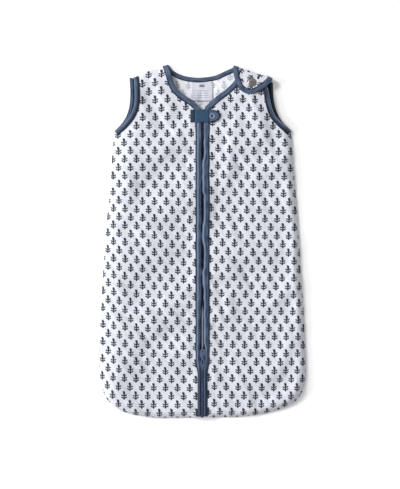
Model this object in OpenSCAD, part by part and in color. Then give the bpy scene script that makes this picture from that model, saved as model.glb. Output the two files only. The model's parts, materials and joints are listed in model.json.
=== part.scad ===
// Sleeveless baby sleeping bag, laid flat on its back.
// +X is the viewer's right, +Y runs from hem to neck, +Z points up out of the front.

/* [Overall size] */
// Length from hem to shoulder
bag_length = 700; // [640:5:760]
// Widest width, near the hem
bag_width = 409; // [380:1:430]
// Height of the hollow between the back and the front cloth
cavity_h = 11; // [10.5:0.25:13]

/* [Cloth] */
// Thickness of the back cloth
back_t = 1.0; // [0.6:0.1:1.4]
// Thickness of the front cloth
front_t = 0.9; // [0.6:0.1:1.2]
// Width of the bias binding on necks, armholes and zip
binding_w = 10; // [8:0.5:12]
// Thickness of one leaf of the binding
leaf_t = 0.7; // [0.4:0.1:0.8]
// Width of the sewn seam at the sides and the hem
seam_w = 3; // [2:0.5:5]

/* [Zip] */
// Gap between the two zip bindings
zip_gap = 5; // [4:0.25:6]
// Thickness of the zip tape
tape_t = 0.6; // [0.4:0.1:0.8]
// Radius of one coil of the zip
coil_r = 0.8; // [0.6:0.05:0.9]
// Length of the slider along the zip
slider_l = 18; // [14:0.5:20]
// Width of the slider
slider_w = 10; // [8:0.5:11]
// Length of the pull from its pivot
pull_l = 21; // [16:0.5:26]
// Width of the pull
pull_w = 8.4; // [6:0.2:10]

/* [Neck tab] */
// Height of the tab along the zip
tab_h = 25; // [20:1:28]
// Reach of the tab from its hinge
tab_l = 50; // [42:1:54]
// Thickness of the tab
tab_t = 1.2; // [0.8:0.1:1.6]

/* [Shoulder flap] */
// Depth of the flap from the fold
flap_d = 44; // [40:1:50]
// Thickness of the flap
flap_t = 1.0; // [0.6:0.1:1.2]
// Outer radius of the fold over the shoulder
fold_r = 7.1; // [6:0.1:7.4]

/* [Snaps] */
// Radius of the shoulder snap's cap
cap_r = 8.6; // [7:0.1:9.5]
// Radius of the tab snap's ring
ring_r = 5.3; // [4.5:0.1:6]
// Radius of the stud that a socket grips
stud_r = 2.0; // [1.6:0.1:2.4]
// Radial clearance of a stud in its socket
snap_gap = 0.4; // [0.3:0.05:0.6]

/* [Label] */
// Width of the label
label_w = 44; // [30:1:50]
// Height of the label
label_h = 37; // [25:1:40]

/* [Hidden] */
$fn = 64;

// The outlines are drawn at this size and stretched to the driving length and width.
drawn = [409, 700];
stretch = [bag_width / drawn[0], bag_length / drawn[1]];

// Colours that several pieces share
cloth_white = "#f2f4fb";
binding_blue = "#3f5878";
seam_grey = "#c9cfe2";
tape_blue = "#2f4462";
fitting_blue = "#33425a";
snap_grey = "#c0c4cc";

// Levels, from the floor upwards
front_z = back_t + cavity_h;
front_top = front_z + front_t;
binding_top = front_top + leaf_t;
tape_z = front_z - leaf_t - tape_t;
lapel_axis_z = binding_top + 0.2;
plate_gap = 0.3;
slider_plate_t = 0.95;
slider_top_z = binding_top + plate_gap;
slider_low_z = tape_z - plate_gap - slider_plate_t;
tab_z = binding_top + 1.0;
flap_leaf_t = 0.6;
flap_top = binding_top + plate_gap + flap_leaf_t + flap_t;
flap_axis_z = flap_top - fold_r;
web = 1;
cut_gap = 0.3;
half_gap = zip_gap / 2;
big = 500;
below_all = -5;
above_all = 40;

// Binding: its fold outside the cloth's edge, and the narrower strip behind the neck
neck_back_w = 8;
back_fold_z = 0.2;

// Seams round the outside, each between two heights or two widths
seam_top_y = 205;
hem_from_y = -240;
shoulder_seam_x = [-123, -84];

// Places along the zip
neck_v_y = 257;
left_cut_y = -235;
right_cut_y = -212;
placket_half = 10;
slider_y = -223;
chain_end_y = 235.5;
left_chain_y = -222;
right_chain_y = -210;
tape_top_y = 252;
zip_binding_top_y = 250;
placket_end_y = -346.5;
placket_top_y = -241;
placket_low_y = -346;
tab_y = 247;
tab_hinge_x = -15;
tab_stud_x = 19;

// The zip's chain and the box and pin at its top
coil_gap = 1.55;
coil_x = coil_gap / 2 + coil_r;
coil_z = tape_z + tape_t + coil_r;
tape_in = 1.2;
tape_out = 12.5;
box_l = 10;
box_y = stretch[1] * chain_end_y + 0.5;

// The slider's arch, which holds the pull's pin
arch_w = 1.8;
arch_half_l = 3.5;
pivot_y = -5;
pivot_z = slider_top_z + slider_plate_t + 1.05;

// The folding lines of the two lapels, from the zip's lower end to the neck
fold_left = [[-15, -235], [-68, 323]];
fold_right = [[15, -235], [57, 312]];

// The shoulder fold: its left end, its angle and its length
shoulder = [59.7, 348];
shoulder_turn = -18.2;
shoulder_l = 86;
snap_at = [47.3, -21.3];
strap_top_d = 14.8;
// How far in from the fold its turning tube dips below the top of the back's binding
fold_dip = sqrt(max(0, fold_r * fold_r - pow(flap_axis_z - back_t - leaf_t, 2)));

// Catmull-Rom curve through knots, with n steps between neighbours
function knot_point(a, b, c, d, t) =
  0.5 * (2 * b + (c - a) * t + (2 * a - 5 * b + 4 * c - d) * t * t
  + (3 * b - a - 3 * c + d) * t * t * t);
function last(k) = k[len(k) - 1];
function smooth(k, n = 5) = concat(
  [for (i = [0:len(k) - 2]) for (j = [0:n - 1])
    knot_point(k[max(i - 1, 0)], k[i], k[i + 1], k[min(i + 2, len(k) - 1)], j / n)],
  [last(k)]);
function backwards(k) = [for (i = [len(k) - 1:-1:0]) k[i]];
function mirrored(k) = [for (p = k) [-p[0], p[1]]];
// The curve moved sideways by d, to the left of its direction of travel
function heading(k, i) =
  let (d = k[min(i + 1, len(k) - 1)] - k[max(i - 1, 0)]) d / norm(d);
function beside(k, d) =
  [for (i = [0:len(k) - 1]) let (t = heading(k, i)) k[i] + d * [-t[1], t[0]]];
function band(k, from, to) = concat(beside(k, from), backwards(beside(k, to)));
// The place of a point given along the shoulder fold and out from it
function on_shoulder(p) = shoulder + [
  p[0] * cos(shoulder_turn) - p[1] * sin(shoulder_turn),
  p[0] * sin(shoulder_turn) + p[1] * cos(shoulder_turn)];
// The x of a folding line at height y
function fold_x(f, y) =
  f[0][0] + (y - f[0][1]) * (f[1][0] - f[0][0]) / (f[1][1] - f[0][1]);

// Edges of the cloth, each travelled with the cloth on its left
seam_left = smooth([[-174, 215], [-177.5, 195], [-181.5, 128], [-187.5, 62], [-194, -14],
  [-200.7, -120], [-204.2, -205], [-204.5, -250], [-200, -288], [-189, -314], [-170, -331],
  [-143, -342.5], [-95, -349.5], [-50, -350], [-3.5, -350]]);
seam_right = smooth([[3.5, -350], [60, -348.5], [100, -345], [140, -337], [170, -326.5],
  [190, -311], [202, -285], [204.5, -250], [202.7, -196], [198.5, -117], [193.5, -38],
  [188.5, 41], [182, 128], [177, 195], [175, 215]]);
shoulder_left = smooth([[-69.6, 349.5], [-82, 344], [-104, 336.5], [-128, 326.5], [-143.5, 323.2]]);
shoulder_left_front = smooth([[-69.6, 349.5], [-82, 344], [-104, 336.5], [-135.5, 324.6]]);
arm_left_back = smooth([[-143.5, 323.2], [-142.1, 291.4], [-145.3, 261.2], [-155.8, 237], [-174, 217]]);
arm_left_front = smooth([[-135.5, 324.6], [-133.4, 291.4], [-136, 264], [-146, 243], [-160, 228],
  [-174, 217]]);
arm_right_back = smooth([[175, 217], [159, 233.5], [147.5, 253], [140, 280], on_shoulder([85, -fold_r])]);
arm_right_front = smooth([[175, 217], [153.5, 236.5], [141.5, 251], [134, 273.5], [129.5, 298],
  on_shoulder([72, -strap_top_d])]);
neck_back = smooth([on_shoulder([0, -fold_r]), [44.5, 335.5], [24.7, 327], [0, 323.2],
  [-24.7, 324], [-44.5, 329], [-60, 338], [-69.6, 349.5]]);
neck_left = smooth([[-3.5, neck_v_y], [-12, 269], [-21.5, 277.5], [-41, 290], [-54.6, 304], [-62, 325],
  [-69.6, 349.5]]);
neck_right = smooth([on_shoulder([12, -strap_top_d]), [65.5, 318], [49.2, 300.7], [27.9, 284.3],
  [10.5, 268.5], [3.5, neck_v_y]]);

// Each zip edge runs straight and swells round the resting slider
zip_right = concat([[3.5, neck_v_y]],
  smooth([[3.5, -196], [4.4, -204], [7.6, -213], [7.8, -223], [7.6, -233], [4.8, -241], [3.5, -249]], 4),
  [[3.5, -350]]);
zip_left = backwards(mirrored(zip_right));
// The outer edge of the zip bindings, which close up below the zip
zip_outer = [[3.5 + binding_w, neck_v_y], [3.5 + binding_w, -236], [placket_half, -262],
  [placket_half, -350]];

// The flap's edge, measured along the fold and down from it
flap_edge = smooth([[3.5, -fold_r], [8.5, -16], [14.7, -26], [28.1, -0.92 * flap_d], [50, -flap_d],
  [67.6, -29.5], [75.5, -18], [82, -fold_r]]);

module slab(points, low, high) {
  scale([stretch[0], stretch[1], 1])
    translate([0, 0, low]) linear_extrude(high - low) polygon(points);
}

// Everything between two heights along the bag
module rows(from, to) {
  scale([stretch[0], stretch[1], 1])
    translate([-big, from, -big]) cube([2 * big, to - from, 2 * big]);
}

// The shoulder flap and what is on it are built along the shoulder fold
module at_shoulder() {
  translate([stretch[0] * shoulder[0], stretch[1] * shoulder[1], 0])
    rotate([0, 0, shoulder_turn]) children();
}

// Everything nearer to the shoulder fold than d
module past_shoulder(d) {
  at_shoulder() translate([-big, -d, below_all]) cube([2 * big, big, above_all]);
}

// The side of a folding line that turns with the lapel, on one side of the zip
module lapel_side(f, side, cut_y, inset) {
  top_y = f[1][1] - inset;
  edge = [for (y = [cut_y, top_y]) [fold_x(f, y) + side * inset, y]];
  slab([edge[0], edge[1], [0, top_y], [0, cut_y]], below_all, above_all);
}

module left_lapel_zone(inset) lapel_side(fold_left, 1, left_cut_y + inset, inset);
module right_lapel_zone(inset) lapel_side(fold_right, -1, right_cut_y + inset, inset);

// Folded binding on the front cloth: a leaf above, a leaf below and the fold outside
module front_binding(edge, from_y = -big, to_y = big) {
  intersection() {
    union() {
      slab(band(edge, -web, binding_w), front_top, binding_top);
      slab(band(edge, -web, binding_w), front_z - leaf_t, front_z);
      slab(band(edge, -web, 0), front_z - leaf_t, binding_top);
    }
    rows(from_y, to_y);
  }
}

// The same binding along the zip, where its outer edge is straight; side is -1 or 1
module zip_binding(edge, side, from_y, to_y) {
  outer = side > 0 ? backwards(zip_outer) : mirrored(zip_outer);
  leaf = concat(beside(edge, -web), outer);
  color(binding_blue) intersection() {
    union() {
      slab(leaf, front_top, binding_top);
      slab(leaf, front_z - leaf_t, front_z);
      slab(band(edge, -web, 0), front_z - leaf_t, binding_top);
    }
    rows(from_y, to_y);
  }
}

// Folded binding on the back cloth, which lies on the floor
module back_binding(edge, width) {
  slab(band(edge, -web, width), back_t, back_t + leaf_t);
  slab(band(edge, -web, 0), back_fold_z, back_t + leaf_t);
}

module front_left_cloth() {
  slab(concat(zip_left, neck_left, shoulder_left_front, arm_left_front, seam_left), front_z, front_top);
}

module front_right_cloth() {
  slab(concat(zip_right, seam_right, arm_right_front, neck_right), front_z, front_top);
}

module back_panel() {
  color("#d9deec")
    slab(concat(shoulder_left, arm_left_back, seam_left, seam_right, arm_right_back, neck_back),
      0, back_t);
}

module front_panel_left() {
  color(cloth_white) difference() {
    front_left_cloth();
    left_lapel_zone(-cut_gap);
  }
}

module front_panel_right() {
  color(cloth_white) difference() {
    front_right_cloth();
    right_lapel_zone(-cut_gap);
  }
}

module lapel_left() {
  color(cloth_white) intersection() {
    front_left_cloth();
    left_lapel_zone(cut_gap);
  }
}

module lapel_right() {
  color(cloth_white) intersection() {
    front_right_cloth();
    right_lapel_zone(cut_gap);
  }
}

// The seams join the back cloth to the front cloth round the outside
module seam(edge, from_y, to_y) {
  color(seam_grey) intersection() {
    slab(band(edge, 0, seam_w), back_t, front_z);
    rows(from_y, to_y);
  }
}

module side_seam_left() seam(seam_left, hem_from_y, seam_top_y);
module side_seam_right() seam(seam_right, hem_from_y, seam_top_y);
module hem_seam() seam(concat(seam_left, seam_right), -big, hem_from_y);

module shoulder_seam_left() {
  color(seam_grey) intersection() {
    slab(band(shoulder_left, 0, seam_w), back_t, front_z);
    scale([stretch[0], stretch[1], 1]) translate([shoulder_seam_x[0], 0, 0])
      cube([shoulder_seam_x[1] - shoulder_seam_x[0], big, above_all]);
  }
}

module size_label() {
  top_y = 314.6;
  middle_x = -1.2;
  label_t = 0.5;
  color("white")
    translate([middle_x - label_w / 2, stretch[1] * top_y - label_h, back_t])
      cube([label_w, label_h, label_t]);
}

module neck_binding_back() {
  color(binding_blue) back_binding(neck_back, neck_back_w);
}

module neck_binding_shoulder_left() {
  color(binding_blue) difference() {
    front_binding(neck_left);
    left_lapel_zone(-cut_gap);
  }
}

module neck_binding_strap_right() {
  color(binding_blue) difference() {
    front_binding(neck_right);
    right_lapel_zone(-cut_gap);
    past_shoulder(strap_top_d);
  }
}

module neck_binding_front_left() {
  color(binding_blue) intersection() {
    front_binding(neck_left);
    left_lapel_zone(cut_gap);
  }
}

module neck_binding_front_right() {
  color(binding_blue) intersection() {
    front_binding(neck_right);
    right_lapel_zone(cut_gap);
  }
}

module armhole_binding_left_back() {
  color(binding_blue) back_binding(arm_left_back, binding_w);
}

module armhole_binding_left_front() {
  color(binding_blue) front_binding(arm_left_front);
}

module armhole_binding_right_back() {
  color(binding_blue) difference() {
    back_binding(arm_right_back, binding_w);
    past_shoulder(fold_r + fold_dip + cut_gap);
  }
}

module armhole_binding_right_front() {
  color(binding_blue) difference() {
    front_binding(arm_right_front);
    past_shoulder(strap_top_d + cut_gap);
  }
}

// The zip bindings stop where the neck bindings begin, under the tab
module zip_binding_left() zip_binding(zip_left, -1, left_cut_y + cut_gap, zip_binding_top_y);
module zip_binding_right() zip_binding(zip_right, 1, right_cut_y + cut_gap, zip_binding_top_y);

// Below the zip the two bindings are sewn together over a closed strip
module placket_binding_left() zip_binding(zip_left, -1, placket_end_y, left_cut_y - cut_gap);
module placket_binding_right() zip_binding(zip_right, 1, placket_end_y, right_cut_y - cut_gap);

module placket_ridge() {
  half = half_gap - 0.3;
  round_r = 0.8;
  length = stretch[1] * (placket_top_y - placket_low_y);
  color("#4f6a8c")
    translate([0, stretch[1] * placket_top_y, 0]) rotate([90, 0, 0]) linear_extrude(length) {
      translate([-half, tape_z + tape_t]) square([2 * half, binding_top - tape_z - tape_t]);
      translate([-half + round_r, binding_top - 0.01]) square([2 * (half - round_r), round_r + 0.01]);
      for (x = [-half + round_r, half - round_r]) translate([x, binding_top]) circle(round_r);
    }
}

module placket_tape() {
  tape_half = 9;
  color(tape_blue)
    translate([-tape_half, stretch[1] * placket_low_y, tape_z])
      cube([2 * tape_half, stretch[1] * (placket_top_y - placket_low_y), tape_t]);
}

// One half of the zip: side is -1 on the left and 1 on the right
module tape(side, from_y) {
  color(tape_blue) slab([[side * tape_in, from_y], [side * tape_out, from_y],
    [side * tape_out, tape_top_y], [side * tape_in, tape_top_y]], tape_z, tape_z + tape_t);
}

module coil(side, from_y) {
  low = stretch[1] * from_y;
  color("#8fa3bf")
    translate([side * coil_x, low, coil_z]) rotate([-90, 0, 0])
      cylinder(h = stretch[1] * chain_end_y - low, r = coil_r);
}

module zip_tape_left() tape(-1, left_chain_y);
module zip_tape_right() tape(1, right_chain_y);
module zip_coil_left() coil(-1, left_chain_y);
module zip_coil_right() coil(1, right_chain_y);

// At the top of the zip the left half carries a box and the right half a pin
module zip_retainer_box() {
  outer = coil_x + coil_r;
  lip_z = coil_z + coil_r + 0.1;
  color(fitting_blue) translate([0, box_y, 0]) {
    translate([-outer, 0, tape_z + tape_t]) cube([outer - 0.3, box_l, lip_z - tape_z - tape_t]);
    translate([-outer, 0, lip_z]) cube([2 * outer, box_l, 0.6]);
  }
}

module zip_insertion_pin() {
  pin_r = 0.65;
  color(fitting_blue)
    translate([coil_x, box_y, tape_z + tape_t + pin_r]) rotate([-90, 0, 0])
      cylinder(h = box_l - 2, r = pin_r);
}

module zip_bottom_stop() {
  stop_l = 3.5;
  color(fitting_blue)
    translate([-half_gap + 0.3, stretch[1] * placket_top_y + 0.3, tape_z])
      cube([zip_gap - 0.6, stop_l, binding_top - tape_z]);
}

// A plate with round corners, centred on the origin
module round_plate(w, l, r, t) {
  linear_extrude(t) {
    square([w - 2 * r, l], center = true);
    square([w, l - 2 * r], center = true);
    for (x = [-1, 1], y = [-1, 1]) translate([x * (w / 2 - r), y * (l / 2 - r)]) circle(r);
  }
}

module at_slider() {
  translate([0, stretch[1] * slider_y, 0]) children();
}

module zip_slider() {
  post_w = 0.8;
  plate_top = slider_top_z + slider_plate_t;
  arch_h = 2.9;
  opening_h = 2.1;
  foot = 1.5;
  color("#2b3d58") at_slider() {
    translate([0, 0, slider_low_z]) round_plate(slider_w, slider_l, 3, slider_plate_t);
    difference() {
      translate([0, 0, slider_top_z]) round_plate(slider_w - 0.8, slider_l, 3.2, slider_plate_t);
      translate([0, 4.5, slider_top_z - 1]) cylinder(h = 4, r = 1.5);
    }
    translate([-post_w / 2, -8, slider_low_z + slider_plate_t])
      cube([post_w, 7, slider_top_z - slider_low_z - slider_plate_t]);
    difference() {
      translate([-arch_w / 2, pivot_y - arch_half_l, plate_top])
        cube([arch_w, 2 * arch_half_l, arch_h]);
      translate([-arch_w, pivot_y - arch_half_l + foot, plate_top - 1])
        cube([2 * arch_w, 2 * (arch_half_l - foot), opening_h + 1]);
    }
  }
}

module zip_pull() {
  t = 1.4;
  arm_in = arch_w / 2 + 0.4;
  arm_out = 2.7;
  head_y = -4.4;
  half = pull_w / 2;
  side = smooth([[arm_out, head_y], [half - 0.5, -9], [half, -pull_l + 5.5], [half - 1.3, -pull_l + 1.4],
    [0, -pull_l]]);
  slot_w = 2.6;
  color("#3a4f70") at_slider() translate([0, pivot_y, pivot_z]) {
    rotate([0, 90, 0]) cylinder(h = 2 * arm_out, r = 0.6, center = true);
    for (x = [-1, 1])
      translate([x * (arm_in + arm_out) / 2, head_y / 2, 0])
        cube([arm_out - arm_in, -head_y + 1.2, t], center = true);
    translate([0, 0, -t / 2]) linear_extrude(t) difference() {
      polygon(concat(side, backwards(mirrored(side))));
      translate([-slot_w / 2, -pull_l + 5.5]) square([slot_w, pull_l - 13.5]);
      for (y = [-pull_l + 5.5, -8]) translate([0, y]) circle(slot_w / 2);
    }
  }
}

// The tab's sewn end, folded double on the left lapel
module neck_tab_base() {
  base_l = 8.7;
  color("#324863") difference() {
    translate([tab_hinge_x - cut_gap - base_l, stretch[1] * tab_y - tab_h / 2, front_top])
      cube([base_l, tab_h, tab_z + tab_t - front_top]);
    slab(band(neck_left, -web, binding_w + cut_gap), below_all, binding_top + cut_gap);
  }
}

module neck_tab() {
  half = tab_h / 2;
  leaf_from = 28;
  tip = [for (a = [90:-7.5:-90]) [leaf_from + (tab_l - leaf_from) * cos(a), half * sin(a)]];
  color("#3a5d7d")
    translate([tab_hinge_x, stretch[1] * tab_y, tab_z]) linear_extrude(tab_t)
      polygon(concat([[cut_gap, -half], [cut_gap, half]], tip));
}

module at_tab_snap(z) {
  translate([tab_stud_x, stretch[1] * tab_y, z]) children();
}

// A raised ring with a sunk middle, as a pressed snap shows on top
module tab_snap_ring() {
  rim = 1.6;
  h = 0.9;
  color("#9fb0c8") at_tab_snap(tab_z + tab_t) rotate_extrude()
    polygon([[0, 0], [ring_r, 0], [ring_r, 0.3], [ring_r - 0.5, h], [ring_r - rim, h],
      [ring_r - rim - 0.5, 0.35], [0, 0.35]]);
}

module snap_socket(r, bore) {
  difference() {
    cylinder(h = 1, r = r);
    translate([0, 0, -1]) cylinder(h = 3, r = bore);
  }
}

module tab_snap_socket() {
  color(snap_grey) at_tab_snap(tab_z - 1) snap_socket(4.2, stud_r + snap_gap);
}

module snap_stud(disc_r, r) {
  cylinder(h = 0.4, r = disc_r);
  cylinder(h = 1.4, r = r);
}

module tab_snap_stud() {
  color(snap_grey) at_tab_snap(front_top) snap_stud(4.5, stud_r);
}

module tab_snap_backing() {
  color(snap_grey) at_tab_snap(front_z - 0.8) cylinder(h = 0.8, r = 4.5);
}

module shoulder_flap() {
  fold_from = flap_edge[0][0];
  fold_to = last(flap_edge)[0];
  color(cloth_white) at_shoulder() {
    translate([0, 0, flap_top - flap_t]) linear_extrude(flap_t) polygon(flap_edge);
    translate([fold_from, -fold_r, flap_axis_z]) intersection() {
      rotate([0, 90, 0]) difference() {
        cylinder(h = fold_to - fold_from, r = fold_r);
        translate([0, 0, -1]) cylinder(h = fold_to - fold_from + 2, r = fold_r - flap_t);
      }
      translate([-1, 0, -fold_r - 1]) cube([shoulder_l + 2, fold_r + 1, 2 * fold_r + 2]);
    }
  }
}

module flap_binding() {
  leaf = flap_leaf_t;
  clear = 3;
  color(binding_blue) at_shoulder() intersection() {
    union() {
      for (z = [flap_top, flap_top - flap_t - leaf])
        translate([0, 0, z]) linear_extrude(leaf) polygon(band(flap_edge, -web, binding_w - 0.5));
      translate([0, 0, flap_top - flap_t - leaf]) linear_extrude(flap_t + 2 * leaf)
        polygon(band(flap_edge, -web, 0));
    }
    translate([-big, -big, 0]) cube([2 * big, big - fold_r - clear, above_all]);
  }
}

module at_shoulder_snap(z) {
  at_shoulder() translate([snap_at[0], snap_at[1], z]) children();
}

module shoulder_snap_cap() {
  color("#8c8785") at_shoulder_snap(flap_top) rotate_extrude()
    polygon([[0, 0], [cap_r, 0], [cap_r, 0.4], [cap_r - 0.5, 0.8], [cap_r - 2, 1.2], [0, 1.5]]);
}

module shoulder_snap_socket() {
  color(snap_grey) at_shoulder_snap(flap_top - flap_t - 1) snap_socket(5.5, stud_r + snap_gap);
}

module shoulder_snap_stud() {
  color(snap_grey) at_shoulder_snap(front_top) {
    cylinder(h = 0.3, r = 5);
    cylinder(h = 1.2, r = stud_r);
  }
}

module shoulder_snap_backing() {
  color(snap_grey) at_shoulder_snap(front_z - 0.8) cylinder(h = 0.8, r = 5);
}

back_panel();
front_panel_left();
front_panel_right();
lapel_left();
lapel_right();
side_seam_left();
side_seam_right();
hem_seam();
shoulder_seam_left();
size_label();
neck_binding_back();
neck_binding_shoulder_left();
neck_binding_strap_right();
neck_binding_front_left();
neck_binding_front_right();
armhole_binding_left_back();
armhole_binding_left_front();
armhole_binding_right_back();
armhole_binding_right_front();
zip_binding_left();
zip_binding_right();
placket_binding_left();
placket_binding_right();
placket_ridge();
placket_tape();
zip_tape_left();
zip_tape_right();
zip_coil_left();
zip_coil_right();
zip_retainer_box();
zip_insertion_pin();
zip_bottom_stop();
zip_slider();
zip_pull();
neck_tab_base();
neck_tab();
tab_snap_ring();
tab_snap_socket();
tab_snap_stud();
tab_snap_backing();
shoulder_flap();
flap_binding();
shoulder_snap_cap();
shoulder_snap_socket();
shoulder_snap_stud();
shoulder_snap_backing();
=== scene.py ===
"""Looks of a sleeveless baby sleeping bag that lies flat on its back.

Lengths are millimetres in the frame's own axes until a mesh is made, which is in metres. A shader's cut
coordinates are millimetres of flat cloth, and its places on an object are metres.
"""
import json
import math

import bpy
import numpy as np
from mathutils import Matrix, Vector, noise
from mathutils.geometry import delaunay_2d_cdt


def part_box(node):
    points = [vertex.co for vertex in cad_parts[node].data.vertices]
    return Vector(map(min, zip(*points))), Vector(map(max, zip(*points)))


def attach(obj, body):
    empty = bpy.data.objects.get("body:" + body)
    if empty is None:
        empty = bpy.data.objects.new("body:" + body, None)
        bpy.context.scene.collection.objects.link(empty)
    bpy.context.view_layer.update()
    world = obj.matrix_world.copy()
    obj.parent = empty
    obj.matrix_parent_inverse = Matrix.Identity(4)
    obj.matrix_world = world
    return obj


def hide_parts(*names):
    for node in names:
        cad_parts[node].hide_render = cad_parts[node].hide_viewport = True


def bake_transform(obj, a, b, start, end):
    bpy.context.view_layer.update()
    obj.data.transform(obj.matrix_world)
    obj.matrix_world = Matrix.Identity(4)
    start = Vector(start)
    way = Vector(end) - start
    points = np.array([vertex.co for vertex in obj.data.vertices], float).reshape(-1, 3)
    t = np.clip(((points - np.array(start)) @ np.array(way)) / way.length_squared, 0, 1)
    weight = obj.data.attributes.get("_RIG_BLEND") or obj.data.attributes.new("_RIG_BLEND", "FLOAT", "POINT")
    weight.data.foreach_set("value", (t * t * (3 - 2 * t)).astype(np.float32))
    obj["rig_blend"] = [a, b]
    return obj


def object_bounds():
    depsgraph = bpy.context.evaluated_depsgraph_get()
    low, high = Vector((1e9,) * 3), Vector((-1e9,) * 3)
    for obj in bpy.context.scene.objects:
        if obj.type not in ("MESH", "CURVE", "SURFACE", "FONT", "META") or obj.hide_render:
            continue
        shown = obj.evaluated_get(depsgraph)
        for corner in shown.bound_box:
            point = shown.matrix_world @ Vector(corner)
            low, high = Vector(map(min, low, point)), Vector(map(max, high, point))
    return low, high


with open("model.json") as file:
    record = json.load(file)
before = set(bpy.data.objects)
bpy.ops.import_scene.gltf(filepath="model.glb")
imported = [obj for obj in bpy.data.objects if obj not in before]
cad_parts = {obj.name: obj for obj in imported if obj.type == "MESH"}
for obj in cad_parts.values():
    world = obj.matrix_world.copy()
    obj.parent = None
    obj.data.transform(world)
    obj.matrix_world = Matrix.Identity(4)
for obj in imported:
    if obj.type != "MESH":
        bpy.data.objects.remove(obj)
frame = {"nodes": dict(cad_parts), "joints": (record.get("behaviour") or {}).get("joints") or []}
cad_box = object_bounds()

MM = 0.001


# ---------------------------------------------------------------- places from the frame

def corners(node):
    """Lowest and highest corner of a CAD node, in millimetres."""
    return [np.array(corner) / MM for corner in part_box(node)]


def centre(node):
    low, high = corners(node)
    return (low + high) / 2


def joint(name):
    return next(j for j in frame["joints"] if j["name"] == name)


FRONT_Z = centre("front_panel_left")[2]
BACK_Z = centre("back_panel")[2]
SLIDER_Y = centre("zip_slider")[1]
FRONT_T = 0.9
BACK_T = 1.0
LEAF_T = 0.7  # one leaf of the folded binding
BINDING_W = 10
WEB = 1  # how far a binding's fold stands past the edge that it covers
EDGE_Z = 1.9  # the sewn side seams and hem
PLY = 0.6  # how far front and back cloth lie above and below their seam
BINDING_LIFT = 0.95  # how far a binding holds the back cloth off the floor


# ---------------------------------------------------------------- curves

def smooth(knots, steps=8):
    """Catmull-Rom curve through knots."""
    k = [np.array(p, float) for p in knots]
    out = []
    for i in range(len(k) - 1):
        a, b, c, d = k[max(i - 1, 0)], k[i], k[i + 1], k[min(i + 2, len(k) - 1)]
        for t in np.arange(steps) / steps:
            out.append(0.5 * (2 * b + (c - a) * t + (2 * a - 5 * b + 4 * c - d) * t * t
                              + (3 * b - a - 3 * c + d) * t ** 3))
    return np.array(out + [k[-1]])


def arc_lengths(line):
    return np.concatenate([[0], np.cumsum(np.linalg.norm(np.diff(line, axis=0), axis=1))])


def spaced(line, step):
    """The line again, with even steps between its two ends."""
    line = np.asarray(line, float)
    s = arc_lengths(line)
    at = np.linspace(0, s[-1], max(2, round(s[-1] / step) + 1))
    return np.column_stack([np.interp(at, s, line[:, i]) for i in range(line.shape[1])])


def headings(line):
    d = np.gradient(line, axis=0)
    return d / np.linalg.norm(d, axis=1)[:, None]


def left_of(heading):
    return np.column_stack([-heading[:, 1], heading[:, 0]])


def looped(line):
    """A closed outline with its first point again at its end."""
    return np.vstack([line, line[:1]])


def near(points, line):
    """How far each point is from a line, and how far along the line its nearest place is."""
    a, d = line[:-1], np.diff(line, axis=0)
    rel = points[:, None] - a[None]
    t = np.clip((rel * d).sum(-1) / (d * d).sum(-1), 0, 1)
    gap = np.linalg.norm(rel - t[..., None] * d, axis=-1)
    i = gap.argmin(1)
    row = np.arange(len(points))
    return gap[row, i], arc_lengths(line)[i] + t[row, i] * np.linalg.norm(d, axis=1)[i]


def nearest(points, lines):
    """How far each point is from the nearest of some lines."""
    return np.min([near(points, line)[0] for line in lines], axis=0)


def inside(points, outline):
    """Which points lie inside a closed outline."""
    x, y = points[:, 0][:, None], points[:, 1][:, None]
    x1, y1 = outline[:, 0], outline[:, 1]
    x2, y2 = np.roll(x1, -1), np.roll(y1, -1)
    crosses = (y1 > y) != (y2 > y)
    with np.errstate(divide="ignore", invalid="ignore"):
        at = (x2 - x1) * (y - y1) / (y2 - y1) + x1
    return (crosses & (x < at)).sum(1) % 2 == 1


def ease(t):
    """0 up to 0 and 1 from 1 on, with a soft change between them."""
    t = np.clip(t, 0, 1)
    return t * t * (3 - 2 * t)


def quarter_wave(distance, reach):
    """0 at no distance, rising like a pillow's edge to 1 at reach."""
    return np.sin(np.clip(distance / reach, 0, 1) * math.pi / 2)


def hump(distance, width):
    """1 at no distance, dying out on both sides of it."""
    return np.exp(-(distance / width) ** 2)


def wander(points, seed, size):
    """Smooth noise from -1 to 1 at lengths along a line or at points of a plane; size is its grain."""
    p = np.asarray(points, float)
    if p.ndim == 1:
        p = np.column_stack([p, p * 0])
    return np.array([noise.noise(Vector((x, y, seed))) for x, y in p / size])


# ---------------------------------------------------------------- outlines, as the CAD part has them

SHOULDER = np.array([59.7, 348])  # the inner end of the flap's fold
SHOULDER_TURN = math.radians(-18.2)
FOLD_R = 7.1
STRAP_D = 14.8  # how far below the fold the front strap ends, under the flap
FLAP_D = 44
ALONG = np.array([math.cos(SHOULDER_TURN), math.sin(SHOULDER_TURN)])
OUT = np.array([-ALONG[1], ALONG[0]])


def on_shoulder(along, out):
    return SHOULDER + along * ALONG + out * OUT


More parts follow.
